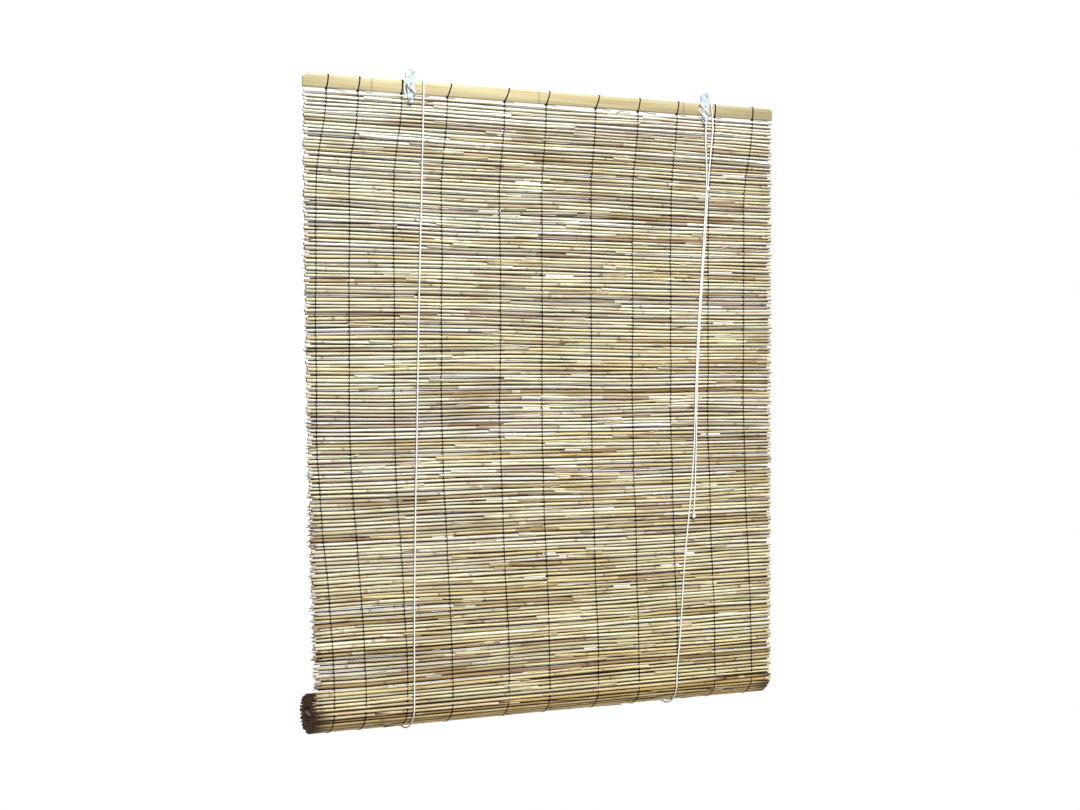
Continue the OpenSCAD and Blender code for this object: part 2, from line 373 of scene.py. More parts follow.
class Shader:
    """A material, with the few kinds of node that the materials here are made of."""

    GRAIN_ROUGHNESS = 0.6

    def __init__(self, name, roughness, specular):
        self.material = bpy.data.materials.new(name)
        self.material.use_nodes = True
        self.nodes = self.material.node_tree.nodes
        self.links = self.material.node_tree.links
        self.bsdf = self.nodes["Principled BSDF"]
        self.set_input("Roughness", roughness)
        self.set_input("Specular IOR Level", specular)

    def set_input(self, name, value):
        self.bsdf.inputs[name].default_value = value

    def grain(self, scale, detail=4):
        """Noise in the object's space. A lower scale along X draws it out, as a fibre runs."""
        place = self.nodes.new("ShaderNodeTexCoord")
        stretch = self.nodes.new("ShaderNodeMapping")
        stretch.inputs["Scale"].default_value = scale
        texture = self.nodes.new("ShaderNodeTexNoise")
        texture.inputs["Scale"].default_value = 1
        texture.inputs["Detail"].default_value = detail
        texture.inputs["Roughness"].default_value = self.GRAIN_ROUGHNESS
        self.links.new(place.outputs["Object"], stretch.inputs["Vector"])
        self.links.new(stretch.outputs["Vector"], texture.inputs["Vector"])
        return texture.outputs["Fac"]

    def ramp(self, source, *stops):
        """Turns a value into a colour between two stops, each a position and a colour."""
        node = self.nodes.new("ShaderNodeValToRGB")
        for i, (at, colour) in enumerate(stops):
            stop = node.color_ramp.elements[i]
            stop.position = at
            stop.color = (*colour, 1)
        self.links.new(source, node.inputs["Fac"])
        return node.outputs["Color"]

    def multiply(self, a, b, share=1.0):
        node = self.nodes.new("ShaderNodeMix")
        node.data_type = "RGBA"
        node.blend_type = "MULTIPLY"
        node.inputs["Factor"].default_value = share
        self.links.new(a, node.inputs["A"])
        self.links.new(b, node.inputs["B"])
        return node.outputs["Result"]

    def tone(self):
        """The colour that the mesh keeps at each point."""
        node = self.nodes.new("ShaderNodeAttribute")
        node.attribute_name = "tone"
        return node.outputs["Color"]

    def paint(self, colour):
        self.links.new(colour, self.bsdf.inputs["Base Color"])

    def bump(self, height, strength, distance):
        node = self.nodes.new("ShaderNodeBump")
        node.inputs["Strength"].default_value = strength
        node.inputs["Distance"].default_value = distance
        self.links.new(height, node.inputs["Height"])
        self.links.new(node.outputs["Normal"], self.bsdf.inputs["Normal"])


def make_reed():
    shader = Shader("reed", roughness=0.43, specular=0.14)
    fibre = shader.grain((14, 900, 900))
    blotch = shader.grain((9, 60, 60), detail=3)
    streaks = shader.ramp(fibre, (0.3, (0.78, 0.75, 0.68)), (0.62, WHITE))
    stains = shader.ramp(blotch, (0.36, (0.7, 0.61, 0.5)), (0.5, WHITE))
    streaked = shader.multiply(shader.tone(), streaks, share=0.8)
    shader.paint(shader.multiply(streaked, stains, share=0.7))
    shader.bump(fibre, strength=0.35, distance=0.4 * MM)
    return shader.material


def make_bamboo():
    shader = Shader("bamboo", roughness=0.42, specular=0.45)
    fibre = shader.grain((5, 500, 500))
    broad = shader.grain((2.4, 70, 70), detail=3)
    fine = shader.ramp(fibre, (0.32, srgb(176, 161, 119)), (0.6, srgb(205, 195, 156)))
    bands = shader.ramp(broad, (0.35, (0.82, 0.77, 0.66)), (0.62, WHITE))
    banded = shader.multiply(fine, bands, share=0.8)
    shader.paint(shader.multiply(banded, shader.tone()))
    shader.bump(fibre, strength=0.25, distance=0.5 * MM)
    return shader.material


def make_core_bamboo():
    shader = Shader("core_bamboo", roughness=0.5, specular=0.4)
    fibre = shader.grain((5, 500, 500))
    shader.paint(shader.ramp(fibre, (0.32, srgb(70, 46, 30)), (0.62, srgb(108, 76, 50))))
    shader.bump(fibre, strength=0.25, distance=0.5 * MM)
    return shader.material


def make_thread():
    shader = Shader("thread", roughness=0.8, specular=0.06)
    fuzz = shader.grain((900, 900, 900), detail=2)
    shader.paint(shader.ramp(fuzz, (0.35, srgb(8, 6, 6)), (0.7, srgb(26, 21, 19))))
    shader.bump(fuzz, strength=0.5, distance=0.2 * MM)
    return shader.material


def make_cord():
    shader = Shader("cord", roughness=0.8, specular=0.25)
    shader.set_input("Sheen Weight", 0.25)
    fuzz = shader.grain((1400, 1400, 1400), detail=2)
    shade = shader.ramp(fuzz, (0.3, (0.82, 0.81, 0.82)), (0.65, WHITE))
    shader.paint(shader.multiply(shader.tone(), shade))
    shader.bump(fuzz, strength=0.4, distance=0.2 * MM)
    return shader.material


def make_hook_plastic():
    shader = Shader("hook_plastic", roughness=0.3, specular=0.5)
    shader.set_input("Transmission Weight", 0.22)
    shader.set_input("IOR", 1.47)
    cloud = shader.grain((160, 160, 160), detail=3)
    shader.paint(shader.ramp(cloud, (0.3, srgb(190, 212, 228)), (0.7, srgb(222, 236, 246))))
    shader.bump(cloud, strength=0.12, distance=0.4 * MM)
    return shader.material


REED = make_reed()
BAMBOO = make_bamboo()
CORE_BAMBOO = make_core_bamboo()
THREAD = make_thread()
CORD = make_cord()
HOOK_PLASTIC = make_hook_plastic()


# Places of the rows

# How far rows stray in height: with their neighbours, each in long bends, each in short bends
ROW_LEAN = 3.2 * MM
ROW_BEND = 2.9 * MM
ROW_WIGGLE = 0.8 * MM
ROW_DEEP = 0.9 * MM
ROW_MOST_SINK = 4 * MM
TOP_ROW_MOST_RISE = 1 * MM
# The last rows, next to the roll, lie straighter and straighter
STRAIGHTER_ROWS = 6
ALONG = np.linspace(slat_low.x, slat_high.x, 61)


def reed_size(k):
    """The thickness of rod k."""
    return REED_D + REED_D_SPREAD * math.sin(k * SCATTER)


def even_z(k):
    return mat_high.z - REED_D / 2 - k * REED_PITCH


def reed_z(k):
    """The height of rod k in the flat mat. One in each CLOSE_EVERY lies against the rod above."""
    if k % CLOSE_EVERY == CLOSE_EVERY - 1 and k < REED_ROWS - 1:
        return reed_z(k - 1) - (reed_size(k) + reed_size(k - 1)) / 2 + REED_PRESS
    return even_z(k)


def row_z(k):
    """A row's height: one that lies against the reed above is eased half of the way back."""
    return (reed_z(k) + even_z(k)) / 2


def stays(k):
    """Whether row k keeps its place when the roll is raised."""
    return reed_z(k) > KEEP_Z + REED_D


def stray(k):
    return REED_END_SPREAD * (1 + math.sin(2 * k * SCATTER)) / 2


def row_ends(k):
    """Where row k starts and stops. The left edge creeps inwards on its way down."""
    edge = slat_low.x + EDGE_CREEP * (k / REED_ROWS) ** 2
    return edge + stray(k), slat_high.x - stray(k + 1)


def sway(k, x, z):
    """How far row k strays in Z at x: neighbours lean together, and each reed bends by itself."""
    lean = ROW_LEAN * wave(x * 3.1, z * 9, 5.1)
    own = ROW_BEND * wave(x * 4.3, k * 3.7, 9.4) + ROW_WIGGLE * wave(x * 12, k * 6.1, 14.8)
    return lean + own


def settle_rows():
    """The height of each row along X. A row that would run into the one above lies against it."""
    rows = []
    for k in range(REED_ROWS):
        z0 = row_z(k)
        free = min(1, (REED_ROWS - 1 - k) / STRAIGHTER_ROWS)
        heights = np.array([z0 + free * sway(k, x, z0) for x in ALONG])
        if rows:
            touch = REED_FULL * (reed_size(k) + reed_size(k - 1)) / 2
            heights = np.maximum(np.minimum(heights, rows[-1] - touch), z0 - ROW_MOST_SINK)
        else:
            heights = np.minimum(heights, z0 + TOP_ROW_MOST_RISE)
        rows.append(heights)
    return rows


SETTLED = settle_rows()


def flat_centre(k):
    """Gives the centre of row k as (y, z) at any x."""
    def centre(x):
        deep = ROW_DEEP * (wave(x * 5, k * 2.9, 21.7) - 0.2)
        return MAT_Y + deep, float(np.interp(x, ALONG, SETTLED[k]))
    return centre


# Reeds

# Chances, each out of 1. The first two are running sums for the reed's colour.
STRAW_UP_TO = 0.56
CREAM_UP_TO = 0.72
HONEY_CHANCE = 0.16
BROWN_REED_CHANCE = 0.08
BROWN_LENGTH_CHANCE = 0.07
HUSK_CHANCE = 0.16
STRONG_TAPER_CHANCE = 0.2

# Shares of a reed's size: at the butt, lost on the way to the tip, and lost as well in a strong taper
BUTT = 1.08
TAPER = (0.1, 0.3)
STRONG_TAPER = 0.25

# Spread of lightness from reed to reed, from one length between knuckles to the next, and along a reed
REED_LIGHT = (0.84, 1.08)
LENGTH_LIGHT = (0.88, 1.08)
DRIFT_LIGHT = 0.84
DRIFT_RISE = 0.24
# How brown a brown reed is, and a brown length of one
BROWN_REED = (0.3, 0.7)
BROWN_LENGTH = 0.55
# How much more blue the upper left reeds have, and how much of it goes on the way right and down
PALER = 0.17
PALER_RIGHT = 0.2
PALER_DOWN = 0.17

# Lengths along a reed, in metres
REED_STEP = 0.032
FIRST_KNUCKLE = (0.02, 0.14)
KNUCKLE_SPACING = (0.08, 0.17)
LAST_KNUCKLE = 0.012
KNUCKLE_CLEAR = 6 * MM
SPLICE_LAP = (0.008, 0.03)
SPLICE_REACH = 0.07

# A ring of a reed is its swelling, its darkness (below 0 it is pale) and whether a new length starts there
PLAIN_RING = (1, 0, False)
# The rings of a knuckle by their offset in mm, and the first and last rings of a husk
KNUCKLE = {
    -3.2: (1, 0.1, False),
    -0.9: (1.13, 0.75, False),
    0.7: (1.1, 0.85, False),
    3.4: (1, 0.3, True),
}
HUSK_FROM = 5
HUSK_TO = (14, 30)
HUSK_RIM = 1.2
HUSK_FIRST = (1.12, -0.5, False)
HUSK_LAST = (1.09, -0.7, False)
MARK_STRENGTH = 0.8

# A row is laid of so many reeds, with these chances. Splices keep off the ends and off each other, in shares.
REED_COUNTS = (1, 2, 3, 4)
REED_COUNT_CHANCES = (0.1, 0.35, 0.4, 0.15)
SPLICES_BETWEEN = (0.1, 0.9)
SPLICES_APART = 0.15
WHOLE_SIZE = (0.92, 1.04)
SPLICED_SIZE = (0.8, 1.02)
SPLICE_FORWARD = 0.9 * MM
SPLICE_UP = 1.3 * MM


def reed_tint(rng, warmth, across):
    """The base colour of one reed. warmth rises from 0 to 1 down the blind, across from left to right."""
    drawn = rng.random()
    if drawn < STRAW_UP_TO:
        tint = STRAW
    elif drawn < CREAM_UP_TO:
        tint = CREAM
    elif drawn < CREAM_UP_TO + HONEY_CHANCE * (0.6 + warmth):
        tint = HONEY
    else:
        tint = GREY_TAN
    paler = PALER - PALER_RIGHT * across - PALER_DOWN * share_past(warmth, 0.5, 0.9)
    green = 0.35 if paler > 0 else 0.12
    tint = tint * np.array((1, 1 + green * paler, 1 + paler))
    if rng.random() < BROWN_REED_CHANCE:
        tint = mix(tint, BROWN, rng.uniform(*BROWN_REED))
    return tint * rng.uniform(*REED_LIGHT)


def find_knuckles(rng, left, right):
    """The places of a reed's knuckles, and the rings of its knuckles and husks by their x."""
    places = []
    at = left + rng.uniform(*FIRST_KNUCKLE)
    while at < right - LAST_KNUCKLE:
        places.append(at)
        at += rng.uniform(*KNUCKLE_SPACING)
    rings = {}
    for place in places:
        depth = rng.uniform(0.15, 1) ** 1.5
        for offset, (swell, dark, past) in KNUCKLE.items():
            rings[place + offset * MM] = (swell, dark * depth, past)
        if rng.random() < HUSK_CHANCE:
            husk = rng.uniform(*HUSK_TO)
            rings[place + HUSK_FROM * MM] = HUSK_FIRST
            rings[place + husk * MM] = HUSK_LAST
            rings[place + (husk + HUSK_RIM) * MM] = PLAIN_RING
    return places, rings


def lay_reed(tubes, rng, left, right, place, size, finish):
    """One reed from left to right. place(x) gives its centre, and size sets its thickness."""
    length = right - left
    knuckles, rings = find_knuckles(rng, left, right)
    count = max(3, int(length / REED_STEP))
    even = [left + length * i / count for i in range(count + 1)]
    clear = [s for s in even if all(abs(s - at) > KNUCKLE_CLEAR for at in knuckles)]
    stations = [s for s in sorted({*clear, *rings, left, right}) if left <= s <= right]
    thin_right = rng.random() < 0.5
    thinning = rng.uniform(*TAPER) + STRONG_TAPER * (rng.random() < STRONG_TAPER_CHANCE)
    base = reed_tint(rng, finish.warmth, ((left + right) / 2 - slat_low.x) / BLIND_W)
    shade_seed = rng.uniform(0, 90)
    lightness = 1.0
    browned = False
    path, radii, colours = [], [], []
    for s in stations:
        share = (s - left) / length
        taper = BUTT - thinning * (share if thin_right else 1 - share)
        swell, dark, past = rings.get(s, PLAIN_RING)
        if past:
            lightness = rng.uniform(*LENGTH_LIGHT)
            browned = rng.random() < BROWN_LENGTH_CHANCE
        tint = base * lightness
        if browned:
            tint = mix(tint, BROWN, BROWN_LENGTH)
        drift = 0.5 + 0.5 * wave(s * 6, shade_seed, 3.3)
        tint = tint * (DRIFT_LIGHT + DRIFT_RISE * drift) * finish.tone
        tint = mix(tint, NODE_BROWN if dark > 0 else CREAM, MARK_STRENGTH * abs(dark))
        colours.append(mix(tint, BLEACHED, finish.bleach))
        path.append((s, *place(s)))
        radii.append(size / 2 * taper * swell)
    colours = np.clip(colours, 0, MOST_LIGHT)
    # The roll's reeds take the darker cut colour on their end rings too: painted shade
    if finish.cut_tint is SHADED_CUT_END:
        colours[[0, -1]] = SHADED_CUT_END
    tubes.add_reed(np.array(path), np.array(radii), colours, finish)


def lay_row(tubes, seed, left, right, centre, size, finish):
    """A row of reeds laid end to end, with their ends side by side at each splice."""
    rng = random.Random(seed)
    count = rng.choices(REED_COUNTS, REED_COUNT_CHANCES)[0]
    drawn = sorted(rng.uniform(*SPLICES_BETWEEN) for _ in range(count - 1))
    cuts = [c for i, c in enumerate(drawn) if i == 0 or c - drawn[i - 1] > SPLICES_APART]
    edges = [left] + [left + (right - left) * c for c in cuts] + [right]
    thickness = SPLICED_SIZE if cuts else WHOLE_SIZE
    climb = rng.choice((-1, 1))
    for i, (a, b) in enumerate(zip(edges, edges[1:])):
        spliced_left = i > 0
        spliced_right = i < len(cuts)
        lap = rng.uniform(*SPLICE_LAP)
        start = a - lap if spliced_left else a
        end = b + lap if spliced_right else b

        def place(x):
            y, z = centre(x)
            near_left = 1 - ease(x, start, start + SPLICE_REACH) if spliced_left else 0
            near_right = ease(x, end - SPLICE_REACH, end) if spliced_right else 0
            push = climb * (near_right - near_left)
            return y - push * SPLICE_FORWARD, z + push * SPLICE_UP

        lay_reed(tubes, rng, start, end, place, size * rng.uniform(*thickness), finish)


# Stems behind the gaps, and loose fibres

# Lengths of the stems behind and of the openings between them, in metres
REAR_START = (0.001, 0.01)
REAR_LENGTH = (0.18, 0.5)
REAR_END = (0.001, 0.008)
REAR_SHORTEST = 0.02
REAR_LEAST_REST = 0.08
REAR_STEP = 0.035
REAR_MEET = (-0.01, 0.002)
REAR_OPENING = (0.02, 0.06)
REAR_MEET_CHANCE = 0.88
REAR_BACK = 1.6 * MM
REAR_WAVER = 0.4 * MM
REAR_SIDES = 6
# Stems are painted grey, as shade seen through a wide gap, where the reeds before them stand this far apart
REAR_GREY_FROM = 5 * MM
REAR_GREY_TO = 8 * MM
REAR_BLEACHED_ROWS = 14
REAR_BLEACH = 0.4
REAR_SIZE_MM = (2.4, 3.3)
REAR_LIGHT = (0.5, 0.85)

FIBRE_SIDES = 4
FIBRE_R_MM = (0.25, 0.5)
FRAY_TINTS = (GREY_TAN, NODE_BROWN, NODE_BROWN, SHADED_TAN)
WISP_TINTS = (CREAM, CREAM, STRAW, NODE_BROWN)
WISP_CHANCE = 0.5
FRAY_CHANCE = 0.08
LOW_FRAY_CHANCE = 0.85
BLEACHED_ROWS = 9
BLEACH = 0.75
# How much broader the painted crease shade is in the lowest rows
BROADER_LINE = 2.2


def rear_row(tubes, k, left, right):
    """Thinner stems that lie behind the gap below row k, in the shade of the front ones, and painted dark as
    well: painted shade.
    """
    rng = random.Random(REAR_SEED + k)
    above, below = flat_centre(k), flat_centre(k + 1)
    # The stems' painted shade is lighter in the top rows and darker towards the bottom of the blind
    down = (k / REED_ROWS) ** 2
    bleach = REAR_BLEACH * max(0, 1 - k / REAR_BLEACHED_ROWS)
    at = left + rng.uniform(*REAR_START)
    while at < right - REAR_SHORTEST:
        end = at + rng.uniform(*REAR_LENGTH)
        if end > right - REAR_LEAST_REST:
            end = right - rng.uniform(*REAR_END)
        size = millimetres(rng, *REAR_SIZE_MM)
        shade = rng.uniform(*REAR_LIGHT) * (1.05 - 0.7 * down)
        path, colours = [], []
        for x in np.linspace(at, end, max(4, int((end - at) / REAR_STEP))):
            upper, lower = above(x)[1], below(x)[1]
            waver = REAR_WAVER * wave(x * 9, k * 5.3, 71.0)
            path.append((x, MAT_Y + REAR_BACK, (upper + lower) / 2 + waver))
            grey = share_past(upper - lower, REAR_GREY_FROM, REAR_GREY_TO) * (1 - 0.9 * down)
            tint = shade * mix(SHADED_TAN, SHADED_GREY, grey)
            colours.append(mix(tint, BLEACHED, bleach))
        tubes.add_reed(np.array(path), np.full(len(path), size / 2), np.array(colours), Finish(), REAR_SIDES)
        meets = rng.random() < REAR_MEET_CHANCE
        at = end + rng.uniform(*(REAR_MEET if meets else REAR_OPENING))


def fray(tubes, k, left):
    """Split fibres at a reed's left end."""
    rng = random.Random(FRAY_SEED + k)
    y0, z0 = flat_centre(k)(left)
    for _ in range(rng.randint(2, 4)):
        length = millimetres(rng, 2, 7)
        lift = millimetres(rng, -2.5, 2.5)
        root = millimetres(rng, 4, 14)
        start = np.array((left + root, y0 - millimetres(rng, 0.8, 2.6), z0 + millimetres(rng, -2.2, 2.2)))
        path = [start + np.array((-t * (length + root), 0, lift * t * t)) for t in (0, 0.4, 0.75, 1)]
        radius = millimetres(rng, *FIBRE_R_MM)
        tubes.add_path(path, radius, FIBRE_SIDES, rng.choice(FRAY_TINTS))


def wisp(tubes, k, rng):
    """A loose fibre that lies across the reeds."""
    x0 = rng.uniform(slat_low.x + 0.04, slat_high.x - 0.08)
    y0, z0 = flat_centre(k)(x0)
    reach = millimetres(rng, 12, 45)
    rise = millimetres(rng, -5, 5)
    bow = millimetres(rng, -2, 2)
    path = []
    for t in np.linspace(0, 1, 7):
        y = y0 - 2.7 * MM - 0.5 * MM * t
        path.append((x0 + reach * t, y, z0 + rise * t + bow * math.sin(math.pi * t)))
    radius = millimetres(rng, *FIBRE_R_MM)
    tubes.add_path(path, radius, FIBRE_SIDES, rng.choice(WISP_TINTS))


# The flat mat

top_rows = Tubes()
low_rows = Tubes()
low_rear = Tubes()
fibres = random.Random(FIBRE_SEED)
for k in range(REED_ROWS):
    share = k / REED_ROWS
    rows, rear = (top_rows, top_rows) if stays(k) else (low_rows, low_rear)
    left, right = row_ends(k)
    bleach = BLEACH * max(0, 1 - k / BLEACHED_ROWS)
    finish = Finish(warmth=share, bleach=bleach, line=CREASE_SHADE_LINE - BROADER_LINE * share ** 2)
    lay_row(rows, FLAT_SEED + k, left, right, flat_centre(k), reed_size(k) * REED_FULL, finish)
    if k < REED_ROWS - 1:
        rear_row(rear, k, left, right)
    if fibres.random() < FRAY_CHANCE + LOW_FRAY_CHANCE * share_past(share, 0.45, 0.75):
        fray(rows, k, left)
    if fibres.random() < WISP_CHANCE:
        wisp(rows, k, fibres)
dress(top_rows.build("mat_upper_reeds"), REED, "blind", "reed", "reed_mat")
for name, rows in (("mat_reeds", low_rows), ("mat_rear_stems", low_rear)):
    piece = dress(rows.build(name), REED, "blind", "reed", "reed_mat")
    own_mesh(piece)


# The roll

ROLL_WAVER = 0.8 * MM
ROLL_INSET = 1.2 * MM
# The roll's reeds are painted darker and browner from its underside on, round its back and on its inner
# turns, fading in between these angles from the front, in radians: painted shade
UNDER_ROLL_SHADE_FROM = 1.4
UNDER_ROLL_SHADE_TO = 1.9


def turn_r(a):
    """The radius of the spiral after it has turned by the angle a."""
    return TURN_START_R - TURN_PITCH * a / (2 * math.pi)


def round_axis(a, r):
    """The point (y, z) at the angle a from the front, round the roll's axis."""
    return AXIS_Y - r * math.cos(a), AXIS_Z - r * math.sin(a)


WOUND = [0.0]
while len(WOUND) < ROLL_ROWS:
    WOUND.append(WOUND[-1] + REED_PITCH / turn_r(WOUND[-1]))


def rolled_centre(k):
    """Gives the centre of the roll's row k as (y, z) at any x."""
    y0, z0 = round_axis(WOUND[k], turn_r(WOUND[k]))

    def centre(x):
        y = y0 + ROLL_WAVER * wave(x * 6, k * 3.1, 40.2)
        return y, z0 + ROLL_WAVER * wave(x * 6, k * 3.1, 60.9)
    return centre


roll_reeds = Tubes()
for k in range(ROLL_ROWS):
    inset = ROLL_INSET * abs(wave(k * 1.7, 2.2, 7.7))
    # Painted shade: rows wound round past the underside of the roll are darkened and browned
    tone = ROLL_TONE * (1 - share_past(WOUND[k], UNDER_ROLL_SHADE_FROM, UNDER_ROLL_SHADE_TO) * UNDER_ROLL_SHADE)
    finish = Finish(warmth=1.0, cut_tint=SHADED_CUT_END, tone=tone, facing=WOUND[k], line=ROLL_CREASE_SHADE_LINE)
    left, right = roll_low.x + inset, roll_high.x - inset
    lay_row(roll_reeds, ROLL_SEED + k, left, right, rolled_centre(k), reed_size(k) * ROLL_FULL, finish)
dress(roll_reeds.build("roll_reeds"), REED, "roll", "reed", "mat_roll")


# Binding threads

# How far a thread leans below the slat, how much more the outer ones do, and how far it comes back
THREAD_LEAN = 9 * MM
THREAD_OUTER_LEAN = 11 * MM
THREAD_RETURN = 13 * MM
THREAD_WAVER = 2 * MM
THREAD_SIDES = 4
THREADS_APART = 0.85 * MM
# From one reed to the next: shares of the way, of the reach outwards and of the thread's radius
TWINE_STEPS = ((0, 1, 0.7), (0.27, 0.8, 1.3), (0.5, 0.0, 1.4), (0.73, -0.8, 1.3))
# How many of the roll's rows, from the outside, the threads go round
BOUND_ROWS = 24

# The loop round the slat, as (y, z)
LOOP_GAP = THREAD_R * 1.2
LOOP_RING = (
    (SLAT_FRONT + 1.5 * MM - LOOP_GAP, SLAT_BOTTOM + 0.3 * MM),
    (SLAT_FRONT + 0.35 * MM - LOOP_GAP, SLAT_BOTTOM + 5 * MM),
    (SLAT_FRONT - LOOP_GAP, SLAT_MID),
    (SLAT_FRONT + 0.35 * MM - LOOP_GAP, SLAT_TOP - 5 * MM),
    (SLAT_FRONT + 1.5 * MM - LOOP_GAP, SLAT_TOP - 0.2 * MM),
    (SLAT_FRONT + 2.2 * MM, SLAT_TOP + LOOP_GAP),
    (SLAT_BACK - 0.6 * MM, SLAT_TOP + LOOP_GAP),
    (SLAT_BACK + LOOP_GAP, SLAT_TOP - 0.8 * MM),
    (SLAT_BACK + LOOP_GAP, SLAT_BOTTOM + 0.8 * MM),
    (SLAT_BACK - 0.8 * MM, SLAT_BOTTOM - LOOP_GAP),
    (SLAT_FRONT + 2.4 * MM, SLAT_BOTTOM - LOOP_GAP),
)
# How far each loop leans to the right over the slat's height, in mm
LOOP_SLANTS = (3.6, 3.6, 2, 8, 9.5, 7.5, 8, 4.8, 4.2, 1.5, 1.5)
LOOP_BESIDE = 0.55 * MM
LOOP_SIDES = 6
LOOP_KNOT_SCALE = 0.55 * MM
LOOP_KNOT_SIDES = 5
TAIL_LENGTH = (0.012, 0.05)


def thread_wander(i, z):
    """The threads lean to the left below the slat and come back towards the roll, the left ones further."""
    down = (SLAT_BOTTOM - z) / FLAT_H
    share = THREAD_SHARES[i]
    back = ease(down, 0.5, 1)
    lean = (THREAD_LEAN + THREAD_OUTER_LEAN * (2 * share - 1) ** 2) * ease(down, 0, 0.16) * (1 - back)
    waver = THREAD_WAVER * wave(z * 9, i * 4.4, 2.0)
    return slat_low.x + BLIND_W * share - lean + THREAD_RETURN * (1 - share) * back + waver


def twine(tubes, x_at, stops):
    """Two threads that change places round each reed. stops are (centre, outward, reach) of each reed."""
    for start in (1, -1):
        path, radii = [], []
        side = start
        for (here, out, reach), (there, _, _) in zip(stops, stops[1:]):
            for step, hold, full in TWINE_STEPS:
                y = mix(here[0], there[0], step) + out[0] * side * hold * reach
                z = mix(here[1], there[1], step) + out[1] * side * hold * reach
                path.append((x_at(z) - side * THREADS_APART * math.sin(step * math.pi), y, z))
                radii.append(THREAD_R * full)
            side = -side
        tubes.add_path(path, radii, THREAD_SIDES, WHITE)


def flat_stop(k, x):
    return flat_centre(k)(x), (-1, 0), reed_size(k) * REED_FULL / 2 + THREAD_R


def rolled_stop(k, x):
    outward = (-math.cos(WOUND[k]), -math.sin(WOUND[k]))
    return rolled_centre(k)(x), outward, reed_size(k) * ROLL_FULL / 2 + THREAD_R


def slat_loop(tubes, i):
    """The thread's loop round the slat, a little aslant, with a knot below and a loose tail."""
    rng = random.Random(LOOP_SEED + i)
    x0 = thread_wander(i, SLAT_BOTTOM)
    slant = LOOP_SLANTS[i] * MM
    ring = [(x0 + slant * (z - SLAT_BOTTOM) / SLAT_H, y, z) for y, z in LOOP_RING]
    for beside in (-LOOP_BESIDE, LOOP_BESIDE):
        tubes.add_path([(x + beside, y, z) for x, y, z in ring], THREAD_R, LOOP_SIDES, WHITE, closed=True)
    knot_at = np.array([x0, SLAT_FRONT + 0.2 * MM, SLAT_BOTTOM - 0.9 * MM])
    tubes.add_path(knot_path(knot_at, LOOP_KNOT_SCALE), THREAD_R, LOOP_KNOT_SIDES, WHITE, closed=True)
    run = rng.uniform(*TAIL_LENGTH)
    tail = []
    for t in np.linspace(0, 1, 9):
        curl = 0.8 * MM * math.sin(5 * t + i)
        tail.append(knot_at + np.array([run * t, -0.6 * MM * t, -1.6 * MM * t + curl]))
    tubes.add_path(tail, THREAD_R * 0.7, THREAD_SIDES, WHITE)


upper_threads = Tubes()
low_threads = Tubes()
split_row = next(k for k in range(REED_ROWS) if not stays(k))
slat_stop = ((MAT_Y, SLAT_BOTTOM - 1 * MM), (-1, 0), 1 * MM)
for i in range(THREADS):
    stops = [flat_stop(k, thread_wander(i, reed_z(k))) for k in range(REED_ROWS)]
    x_at = partial(thread_wander, i)
    twine(upper_threads, x_at, [slat_stop] + stops[:split_row + 1])
    twine(low_threads, x_at, stops[split_row:])
for i in range(THREADS):
    slat_loop(upper_threads, i)
THREAD_NODES = ["warp_thread_%02d" % (i + 1) for i in range(THREADS)]
dress(upper_threads.build("upper_threads"), THREAD, "blind", "thread", *THREAD_NODES)
low_thread_piece = dress(low_threads.build("mat_threads"), THREAD, "blind", "thread", *THREAD_NODES)
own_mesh(low_thread_piece)

roll_threads = Tubes()
for i in range(THREADS):
    x0 = thread_wander(i, AXIS_Z)
    twine(roll_threads, lambda z: x0, [rolled_stop(k, x0) for k in range(BOUND_ROWS)])
dress(roll_threads.build("roll_binding"), THREAD, "roll", "thread", "roll_threads")


# Head slat

SLAT_DOME = 1.4 * MM
SLAT_CORNER = 6 * MM
SLAT_BEVEL = 0.7 * MM
SLAT_STATIONS = 90
# Nodes of the bamboo, as places from the slat's left end, with rings at these offsets in mm
SLAT_NODES = [BLIND_W * share for share in (0.13, 0.47, 0.79)]
NODE_RINGS = (-4, -2, -0.8, 0, 0.8, 2, 4)
NODE_WIDTH = 1.6 * MM
NODE_RISE = 0.25 * MM
NODE_MOST_RISE = 0.05 * MM
# How much darker a node is, and by how much more in red, green and blue, and how much darker the ends are, as
# painted shade, most at the right end
NODE_SHADE = 0.3
NODE_TINT = (0, 0.06, 0.16)
LEFT_SHADE = 0.12
RIGHT_SHADE = 0.37


def slat_stations():
    """Places of the slat's sections, from its left end."""
    stations = set(np.linspace(SLAT_CORNER, BLIND_W - SLAT_CORNER, SLAT_STATIONS))
    for node in SLAT_NODES:
        stations |= {node + offset * MM for offset in NODE_RINGS}
    ends = [SLAT_CORNER * (1 - math.cos(a)) for a in np.linspace(0, math.pi / 2, 9)[:-1]]
    stations |= set(ends) | {BLIND_W - e for e in ends}
    return sorted(stations)


